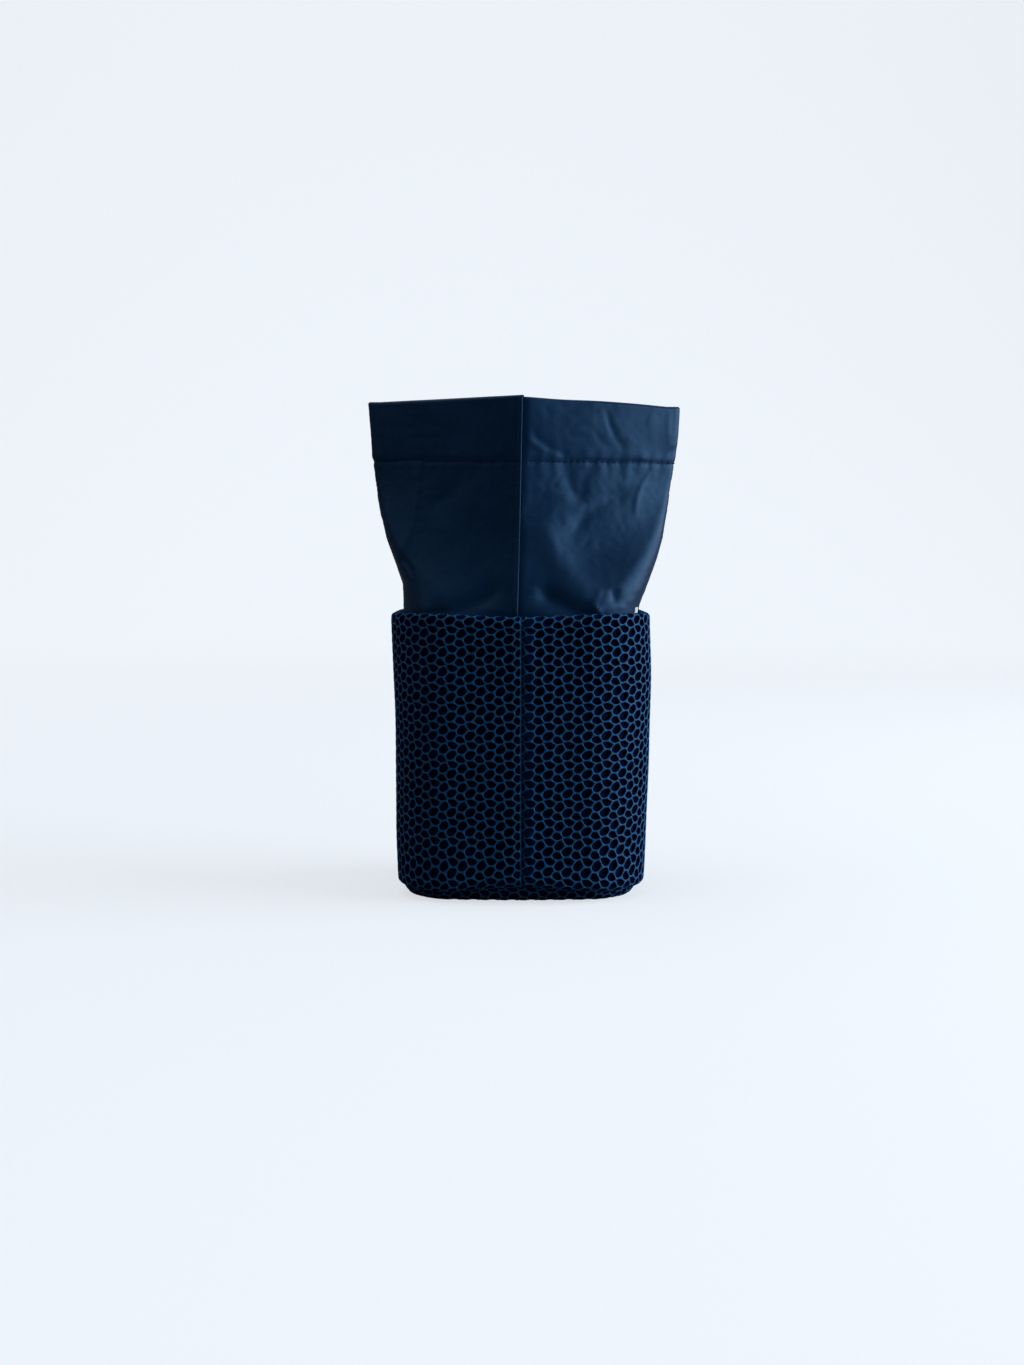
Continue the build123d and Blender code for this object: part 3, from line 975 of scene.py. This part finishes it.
def stitch_row(name, path):
    """Stitches along a path of places and outward directions, each a small capsule laid on the cloth."""
    pitch = bpy.context.scene.pouch_nylon.stitch_pitch
    thread, half_stitch, proud = 0.23 * MM, 0.95 * MM, 0.12 * MM
    lengths = [0.0]
    for (a, _), (b, _) in zip(path, path[1:]):
        lengths.append(lengths[-1] + (b - a).length)
    bpy.ops.object.select_all(action="DESELECT")
    bpy.ops.mesh.primitive_uv_sphere_add(segments=8, ring_count=6, radius=thread)
    pattern = bpy.context.object
    made = bmesh.new()
    count = int(lengths[-1] / pitch)
    k = 0
    for number in range(count):
        at = (number + 0.5) * lengths[-1] / count
        while lengths[k + 1] < at:
            k += 1
        share = (at - lengths[k]) / (lengths[k + 1] - lengths[k])
        middle = path[k][0].lerp(path[k + 1][0], share)
        along = (path[min(k + 2, len(path) - 1)][0] - path[max(k - 1, 0)][0]).normalized()
        out = path[k][1]
        up = out.cross(along).normalized()
        first = len(made.verts)
        made.from_mesh(pattern.data)
        made.verts.ensure_lookup_table()
        for vertex in made.verts[first:]:
            local = vertex.co.copy()
            stretch = math.copysign(half_stitch, local.z) if abs(local.z) > 1e-6 else 0.0
            vertex.co = middle + out * (local.x + proud) + up * local.y + along * (local.z + stretch)
    mesh = bpy.data.meshes.new(name)
    made.to_mesh(mesh)
    made.free()
    bpy.data.objects.remove(pattern)
    row = named_object(name, mesh)
    shade_smooth(row)
    dress(row, thread_material())
    return row


def dress(obj, *materials):
    """Puts materials in an object's slots. They aren't cleared first: that would reset the faces' numbers."""
    slots = obj.data.materials
    for index, material in enumerate(materials):
        if index < len(slots):
            slots[index] = material
        else:
            slots.append(material)


# ---- Operators: one for each piece or group of like pieces ----
PRESSED_RIGHT = 3.0 * MM  # width of the knit that a seam presses flat at its right
PRESSED_LEFT = 0.2 * MM
BASE_RELIEF = 0.8  # share of their full depth that the base panel's cells have


class POUCH_OT_mesh_sides(bpy.types.Operator):
    """Knit the cup's two side panels, turned over the rim"""

    bl_idname = "pouch.mesh_sides"
    bl_label = "Mesh Side Panels"

    def execute(self, context):
        half, rise = cup_half_length(), wall_length()
        margin = 0.15 * MM
        for word, low, high in (("left", margin - half, -margin), ("right", margin, half - margin)):
            outline = [(low, 0.0), (high, 0.0), (high, rise), (low, rise)]

            def relief(across, up):
                beside = right_of_seam(across)
                pressed = PRESSED_RIGHT if beside > 0 else PRESSED_LEFT
                return mix(0.1, 1.0, ease((abs(beside) - pressed) / (2 * MM)))

            panel = knit_mesh(f"mesh_panel_{word}", outline, place_on_wall, relief)
            dress(panel, strand_material(), backing_and_shade_material())
            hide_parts(f"mesh_side_{word}")
            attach(panel, "root")
        return {"FINISHED"}


BASE_INSET = 6.4 * MM  # the base panel's outer face, in from the cup's
BASE_EDGE = 6.0 * MM  # radius of the base panel's edge
BASE_RISE = 3.6 * MM  # straight part of its turned-up edge
RIGHT_TUCK = 0.985  # the base panel is pulled in a little at its right end


def place_on_base(across, along):
    """A point and normal on the base panel, which is flat underneath and turned up at its edge."""
    radius = bpy.context.scene.pouch_mesh.corner_radius - BASE_INSET - BASE_EDGE
    half_x = CUP_HALF_X - BASE_INSET - BASE_EDGE
    half_y = CUP_HALF_Y - BASE_INSET - BASE_EDGE
    x, y = -across, along
    reach = Vector((max(abs(x) - half_x + radius, 0.0), max(abs(y) - half_y + radius, 0.0), 0))
    past = reach.length - radius
    swell = math.copysign(swell_at(x) * (y / CUP_HALF_Y) ** 2, y)
    if past <= 0:
        return Vector((x * RIGHT_TUCK if x > 0 else x, y + swell, 0)), Vector((0, 0, -1))
    outward = reach.normalized()
    outward = Vector((math.copysign(outward.x, x), math.copysign(outward.y, y), 0))
    angle = min(past / BASE_EDGE, math.pi / 2)
    out = BASE_EDGE * math.sin(angle)
    height = BASE_EDGE * (1 - math.cos(angle)) + max(past - BASE_EDGE * math.pi / 2, 0)
    point = Vector((x, y + swell, 0)) + outward * (out - past)
    if x > 0:
        point.x *= RIGHT_TUCK
    point.z = height
    return point, (outward * math.sin(angle) - Vector((0, 0, math.cos(angle)))).normalized()


class POUCH_OT_mesh_base(bpy.types.Operator):
    """Knit the base panel and turn up its edge"""

    bl_idname = "pouch.mesh_base"
    bl_label = "Mesh Base Panel"

    def execute(self, context):
        wrap = BASE_EDGE * math.pi / 2 + BASE_RISE - BASE_INSET - BASE_EDGE
        radius = context.scene.pouch_mesh.corner_radius + wrap
        outline = []
        for sign_x, sign_y, start in ((1, 1, 0), (-1, 1, 90), (-1, -1, 180), (1, -1, 270)):
            for step in range(13):
                angle = math.radians(start + 90 * step / 12)
                x = sign_x * (CUP_HALF_X + wrap - radius) + radius * math.cos(angle)
                y = sign_y * (CUP_HALF_Y + wrap - radius) + radius * math.sin(angle)
                outline.append((x, y))
        base = knit_mesh("mesh_panel_base", outline, place_on_base, lambda across, along: BASE_RELIEF)
        dress(base, strand_material(), backing_and_shade_material())
        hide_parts("mesh_base")
        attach(base, "root")
        return {"FINISHED"}


class POUCH_OT_collar(bpy.types.Operator):
    """Lay out the collar's two nylon panels, folded over into the hem, and sew the hem"""

    bl_idname = "pouch.collar"
    bl_label = "Collar and Hem"

    def execute(self, context):
        nylon = context.scene.pouch_nylon
        for word, side in (("left", -1), ("right", 1)):
            panel = nylon_panel(side, f"nylon_panel_{word}")
            self.sew(panel, side, word)
            solid = panel.modifiers.new("Solidify", "SOLIDIFY")
            solid.thickness = nylon.thickness
            solid.offset = -1
            apply_modifiers(panel)
            shade_smooth(panel)
            dress(panel, nylon_material())
            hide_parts(f"collar_{word}", f"hem_{word}")
            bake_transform(panel)
        return {"FINISHED"}

    def sew(self, panel, side, word):
        """Sew the row that closes the hem, along the panel's outer layer"""
        columns, rows = panel["columns"], panel["rows_up"]
        vertices = panel.data.vertices
        line = []
        for column, share_along in enumerate(column_shares()):
            stack = [vertices[row * columns + column].co.copy() for row in range(rows + 1)]
            wanted = stitch_line(share_along * cloth_width(), side)
            line.append(min(stack, key=lambda p: abs(p.z - wanted)))
            line[-1].z = wanted
        path = []
        for k, place in enumerate(line):
            along = (line[min(k + 2, columns - 1)] - line[max(k - 2, 0)]).normalized()
            path.append((place, Vector((along.y, -along.x, 0)).normalized() * (1 if side > 0 else -1)))
        row = stitch_row(f"hem_stitch_row_{word}", path)
        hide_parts("hem_stitches")
        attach(row, "hem")


class POUCH_OT_seam_stitches(bpy.types.Operator):
    """Sew the row beside each of the cup's two seams"""

    bl_idname = "pouch.seam_stitches"
    bl_label = "Seam Stitches"

    def execute(self, context):
        beside, margin, step = 1.6 * MM, 5 * MM, 1.5 * MM
        first = CURL_LENGTH + margin
        count = int((RIM - CUP_FOOT - 3 * margin) / step)
        for word, across in (("front", beside), ("back", beside - cup_half_length())):
            path = [place_on_wall(across, first + step * k) for k in range(count)]
            row = stitch_row(f"seam_stitch_row_{word}", path)
            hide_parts(f"mesh_seam_stitches_{word}")
            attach(row, "root")
        return {"FINISHED"}


class POUCH_OT_collar_tapes(bpy.types.Operator):
    """Lay a narrow tape over each of the collar's seams, on the inside"""

    bl_idname = "pouch.collar_tapes"
    bl_label = "Collar Seam Tapes"

    def execute(self, context):
        rows, half_width, inset = 60, 4.0 * MM, 1.3 * MM
        across = [half_width * k / 3 for k in range(-3, 4)]
        for word, end in (("front", -1), ("back", 1)):
            bpy.ops.object.select_all(action="DESELECT")
            bpy.ops.mesh.primitive_grid_add(x_subdivisions=len(across) - 1, y_subdivisions=rows, size=1)
            tape = context.object
            tape.name = f"collar_tape_{word}"
            for index, vertex in enumerate(tape.data.vertices):
                height = mix(TUCK + 1 * MM, HEM_FOOT - 1 * MM, (index // len(across)) / rows)
                offset = across[index % len(across)]
                (_, front), (width, crease), _, _ = collar_corners(height, 1)[0]
                slope = (crease - front) / width
                lean = through(SEAM_LEAN, height) if end < 0 else 0.0
                ripple = noise.noise(Vector((offset * 90, height * 130, end))) * 0.25 * MM
                depth = -front - slope * abs(offset) - inset - ripple
                vertex.co = (offset + lean, end * depth, height)
            if end > 0:
                bpy.ops.object.mode_set(mode="EDIT")
                bpy.ops.mesh.select_all(action="SELECT")
                bpy.ops.mesh.flip_normals()
                bpy.ops.object.mode_set(mode="OBJECT")
            solid = tape.modifiers.new("Solidify", "SOLIDIFY")
            solid.thickness = 0.35 * MM
            apply_modifiers(tape)
            shade_smooth(tape)
            dress(tape, woven_material("seam_tape", TAPE_COLOUR, 0.75))
            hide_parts(f"collar_seam_tape_{word}")
            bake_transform(tape)
        return {"FINISHED"}


class POUCH_OT_label(bpy.types.Operator):
    """Fold the small blank woven tab and set it in the rim seam"""

    bl_idname = "pouch.label"
    bl_label = "Woven Tab"

    def execute(self, context):
        middle = (Vector(LABEL_LOW) + Vector(LABEL_HIGH)) / 2
        span = Vector(LABEL_HIGH) - Vector(LABEL_LOW)
        bearing = math.atan2(span.x, span.y)
        width = 0.75 * math.hypot(span.x, span.y)
        columns, rows = 10, 48
        bpy.ops.object.select_all(action="DESELECT")
        bpy.ops.mesh.primitive_grid_add(x_subdivisions=columns, y_subdivisions=rows, size=1)
        tab = context.object
        tab.name = "woven_tab"
        for index, vertex in enumerate(tab.data.vertices):
            across = (index % (columns + 1)) / columns - 0.5
            along = (index // (columns + 1)) / rows
            fold_share = 2 * abs(along - 0.5)
            gap = 0.22 * MM * math.copysign(1 - bump(fold_share, 0.08), along - 0.5)
            rise = (span.z - 1.0 * MM) * (1 - fold_share)
            curl = 0.8 * MM * ease((rise - span.z * 0.62) / (span.z * 0.38)) * (1 - 1.6 * across * across)
            vertex.co = (curl - gap, across * width, rise - span.z / 2)
        for vertex in tab.data.vertices:
            vertex.co.rotate(Matrix.Rotation(-bearing, 3, "Z"))
            vertex.co += middle
        solid = tab.modifiers.new("Solidify", "SOLIDIFY")
        solid.thickness = 0.18 * MM
        apply_modifiers(tab)
        shade_smooth(tab)
        dress(tab, woven_material("white_tab", TAB_COLOUR, 0.8))
        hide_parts("label_tab")
        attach(tab, "root")
        return {"FINISHED"}


FLOOR_TUCK = 4.5 * MM  # how far the lining draws in at its floor


class POUCH_OT_lining(bpy.types.Operator):
    """Line the cup with nylon, down to its floor"""

    bl_idname = "pouch.lining"
    bl_label = "Lining"

    def execute(self, context):
        floor = LINING_FLOOR
        around, up, inward = 180, 46, 26
        radius = context.scene.pouch_mesh.corner_radius - NYLON_INSET
        half_x, half_y = NYLON_HALF_X - 0.2 * MM, NYLON_HALF_Y - 0.2 * MM
        corners = [(0.0, -half_y), (half_x, -half_y), (half_x, half_y), (0.0, half_y)]
        ring = rounded_path(corners, radius, [k / (around // 2) for k in range(around // 2 + 1)])
        ring += [(Vector((-p.x, p.y)), Vector((-out.x, out.y))) for p, out in reversed(ring[1:-1])]
        points, flat = [], []
        for row in range(up + inward + 1):
            for k, (place, out) in enumerate(ring):
                if row <= up:
                    height = mix(TUCK + 1.5 * MM, floor + 2.5 * MM, row / up)
                    wave = noise.noise(Vector((place.x * 45, place.y * 45, height * 30))) * 1.6 * MM
                    tuck = FLOOR_TUCK * ease((18 * MM - height) / (12 * MM))
                    spot = place - out * (abs(wave) + 0.2 * MM + tuck)
                else:
                    share = (row - up) / inward
                    spot = (place - out * FLOOR_TUCK) * (1 - share) * 0.985
                    height = floor + 0.6 * MM + noise.noise(Vector((spot.x * 60, spot.y * 60, 7))) * 0.5 * MM
                points.append((spot.x, spot.y, height))
                flat.append((k * 2.2 * MM, row * 2.6 * MM))
        count = len(ring)
        faces = []
        for row in range(up + inward):
            for k in range(count):
                a = row * count + k
                b = row * count + (k + 1) % count
                faces.append((a, b, b + count, a + count))
        mesh = bpy.data.meshes.new("lining_bag")
        mesh.from_pydata(points, [], faces)
        uv = mesh.uv_layers.new(name="UVMap")
        for loop in mesh.loops:
            uv.data[loop.index].uv = flat[loop.vertex_index]
        bag = named_object("lining_bag", mesh)
        select_only(bag)
        bpy.ops.object.mode_set(mode="EDIT")
        bpy.ops.mesh.select_all(action="SELECT")
        bpy.ops.mesh.remove_doubles(threshold=0.0001)
        bpy.ops.object.mode_set(mode="OBJECT")
        solid = bag.modifiers.new("Solidify", "SOLIDIFY")
        solid.thickness = context.scene.pouch_nylon.thickness
        apply_modifiers(bag)
        shade_smooth(bag)
        dress(bag, nylon_material())
        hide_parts("lining_side_left", "lining_side_right", "lining_base")
        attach(bag, "root")
        return {"FINISHED"}


class POUCH_OT_base_tape(bpy.types.Operator):
    """Fold a tape over the raw edges where the base panel is sewn in"""

    bl_idname = "pouch.base_tape"
    bl_label = "Base Tape"

    def execute(self, context):
        # Inset from the cup's outline and height, in millimetres
        profile = ((3.0, 10.6), (3.0, 13.7), (3.3, 14.2), (3.9, 14.2), (4.2, 13.7), (4.2, 10.6))
        around, half = 200, cup_half_length()
        points = []
        for k in range(around):
            place, outward = cup_outline(half * (2 * k / around - 1))
            for inset, height in profile:
                spot = place - outward * inset * MM
                lean = through(LEAN_RIGHT if spot.x > 0 else LEAN_LEFT, height * MM)
                spot.x -= lean * math.copysign((spot.x / CUP_HALF_X) ** 2, spot.x)
                spot.y += math.copysign(swell_at(spot.x), spot.y)
                points.append((spot.x, spot.y, height * MM))
        wide = len(profile)
        faces = []
        for k in range(around):
            for m in range(wide - 1):
                a = k * wide + m
                b = (k + 1) % around * wide + m
                faces.append((a, b, b + 1, a + 1))
        mesh = bpy.data.meshes.new("base_tape")
        mesh.from_pydata(points, [], faces)
        tape = named_object("base_tape", mesh)
        solid = tape.modifiers.new("Solidify", "SOLIDIFY")
        solid.thickness = 0.35 * MM
        apply_modifiers(tape)
        shade_smooth(tape)
        dress(tape, woven_material("seam_tape", TAPE_COLOUR, 0.75))
        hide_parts("base_binding")
        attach(tape, "root")
        return {"FINISHED"}


class POUCH_OT_inside_parts(bpy.types.Operator):
    """Finish the sewn-in parts that keep their own shape: the board, the rim binding and the tapes"""

    bl_idname = "pouch.inside_parts"
    bl_label = "Board, Bindings and Tapes"

    def execute(self, context):
        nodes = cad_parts
        tape = woven_material("seam_tape", TAPE_COLOUR, 0.75)
        for name in ("rim_binding", "side_seam_tape_front", "side_seam_tape_back"):
            dress(nodes[name], tape)
        dress(nodes["base_board"], woven_material("stiff_board", BOARD_COLOUR, 0.6))
        return {"FINISHED"}


PAPER_BOUNCE = 0.25  # share of its paleness that the paper throws back as light


class POUCH_OT_stage(bpy.types.Operator):
    """Put up the floor and backdrop, the lights and the camera"""

    bl_idname = "pouch.stage"
    bl_label = "Stage"

    def execute(self, context):
        self.backdrop(context)
        self.lights(context)
        self.camera(context)
        return {"FINISHED"}

    def backdrop(self, context):
        bpy.ops.object.select_all(action="DESELECT")
        bpy.ops.mesh.primitive_plane_add(size=6.0, location=(0, 0, 0))
        floor = context.object
        floor.name = "floor"
        bpy.ops.object.mode_set(mode="EDIT")
        bpy.ops.mesh.select_all(action="DESELECT")
        bpy.ops.object.mode_set(mode="OBJECT")
        for edge in floor.data.edges:
            ends = [floor.data.vertices[v].co.y for v in edge.vertices]
            edge.select = min(ends) > 2.9
        bpy.ops.object.mode_set(mode="EDIT")
        bpy.ops.mesh.select_mode(type="EDGE")
        bpy.ops.mesh.extrude_region_move(TRANSFORM_OT_translate={"value": (0, 0, 4.0)})
        bpy.ops.object.mode_set(mode="OBJECT")
        sweep = floor.modifiers.new("Bevel", "BEVEL")
        sweep.width, sweep.segments = 1.2, 24
        apply_modifiers(floor)
        shade_smooth(floor)
        dress(floor, self.paper(context))

    def paper(self, context):
        """Pale paper that glows to the camera: painted light, an emission that grows brighter further from
        the middle, over its dimmed colour that shows the lamps' shadows. Other rays see only a dim diffuse,
        so it throws little light back on the dark pouch.
        """
        material, tree, shader = new_material("paper_sweep")
        pale = context.scene.pouch_stage.floor_colour
        place = node(tree, "ShaderNodeTexCoord")
        far = node(tree, "ShaderNodeVectorMath", {0: place.outputs["Object"]}, operation="LENGTH")
        reach = far.outputs["Value"]
        # Painted light: the paper glows brighter further from the middle, in place of the lamps' light
        # reaching the far backdrop.
        glow = node(tree, "ShaderNodeMapRange", {"Value": reach, 1: 0.2, 2: 2.2, 3: 0.71, 4: 0.84})
        shade = {0: pale, "Scale": glow.outputs["Result"]}
        light = node(tree, "ShaderNodeVectorMath", shade, operation="SCALE")
        tree.links.new(light.outputs["Vector"], shader.inputs["Emission Color"])
        shader.inputs["Emission Strength"].default_value = 1.0
        dimmed = (*[c * PAPER_BOUNCE for c in pale], 1)
        shader.inputs["Base Color"].default_value = dimmed
        shader.inputs["Roughness"].default_value = 0.9
        shader.inputs["Specular IOR Level"].default_value = 0.1
        dim = node(tree, "ShaderNodeBsdfDiffuse", {"Color": dimmed})
        path = node(tree, "ShaderNodeLightPath")
        both = node(tree, "ShaderNodeMixShader", {
            0: path.outputs["Is Camera Ray"], 1: dim.outputs["BSDF"], 2: shader.outputs["BSDF"]})
        tree.links.new(both.outputs["Shader"], tree.nodes["Material Output"].inputs["Surface"])
        return material

    def lights(self, context):
        stage = context.scene.pouch_stage
        for name, place, size, power, colour in (
            ("key", (1.5, -0.14, 0.36), 1.5, stage.key_power, (0.8, 0.92, 1.0)),
            ("top", (-0.3, 0.2, 2.4), 2.6, stage.top_power, (0.97, 0.98, 1.0)),
            ("fill", (-1.4, -0.8, 0.9), 0.8, stage.fill_power, (1.0, 0.98, 0.94)),
        ):
            bpy.ops.object.light_add(type="AREA", location=place)
            light = context.object
            light.name = name
            light.data.size = size
            light.data.energy = power
            light.data.color = colour
            light.rotation_euler = (Vector((0, 0, 0.12)) - Vector(place)).to_track_quat("-Z", "Y").to_euler()
        world = bpy.data.worlds.new("pale_room")
        world.use_nodes = True
        world.node_tree.nodes["Background"].inputs["Color"].default_value = (0.86, 0.93, 1.0, 1)
        world.node_tree.nodes["Background"].inputs["Strength"].default_value = 0.12
        context.scene.world = world
        context.scene.view_settings.view_transform = "Standard"

    def camera(self, context):
        stage = context.scene.pouch_stage
        place = (-4.4 * MM, -CUP_HALF_Y - stage.camera_distance, stage.camera_height)
        bpy.ops.object.camera_add(location=place, rotation=(math.pi / 2 - stage.camera_pitch, 0, 0))
        camera = context.object
        camera.name = "camera"
        camera.data.lens = stage.lens
        camera.data.clip_start = 0.01
        context.scene.camera = camera


PIECES = (
    POUCH_OT_stage, POUCH_OT_mesh_sides, POUCH_OT_mesh_base, POUCH_OT_lining, POUCH_OT_collar,
    POUCH_OT_seam_stitches, POUCH_OT_collar_tapes, POUCH_OT_label, POUCH_OT_base_tape,
    POUCH_OT_inside_parts,
)


class POUCH_PT_sidebar(bpy.types.Panel):
    """The pouch's sizes, and a button for each piece"""

    bl_label = "Pouch"
    bl_idname = "POUCH_PT_sidebar"
    bl_space_type = "VIEW_3D"
    bl_region_type = "UI"
    bl_category = "Pouch"

    def draw(self, context):
        for group in (context.scene.pouch_mesh, context.scene.pouch_nylon, context.scene.pouch_stage):
            box = self.layout.box()
            for key in group.bl_rna.properties.keys():
                if key not in ("rna_type", "name"):
                    box.prop(group, key)
        for piece in PIECES:
            self.layout.operator(piece.bl_idname)


CLASSES = (PouchMeshSettings, PouchNylonSettings, PouchStageSettings, *PIECES, POUCH_PT_sidebar)


def register():
    for item in CLASSES:
        bpy.utils.register_class(item)
    bpy.types.Scene.pouch_mesh = bpy.props.PointerProperty(type=PouchMeshSettings)
    bpy.types.Scene.pouch_nylon = bpy.props.PointerProperty(type=PouchNylonSettings)
    bpy.types.Scene.pouch_stage = bpy.props.PointerProperty(type=PouchStageSettings)


def unregister():
    del bpy.types.Scene.pouch_stage
    del bpy.types.Scene.pouch_nylon
    del bpy.types.Scene.pouch_mesh
    for item in reversed(CLASSES):
        bpy.utils.unregister_class(item)


def main():
    register()
    bpy.ops.object.select_all(action="DESELECT")
    bpy.ops.pouch.stage()
    bpy.ops.pouch.mesh_sides()
    bpy.ops.pouch.mesh_base()
    bpy.ops.pouch.lining()
    bpy.ops.pouch.collar()
    bpy.ops.pouch.seam_stitches()
    bpy.ops.pouch.collar_tapes()
    bpy.ops.pouch.label()
    bpy.ops.pouch.base_tape()
    bpy.ops.pouch.inside_parts()


if __name__ == "__main__":
    main()
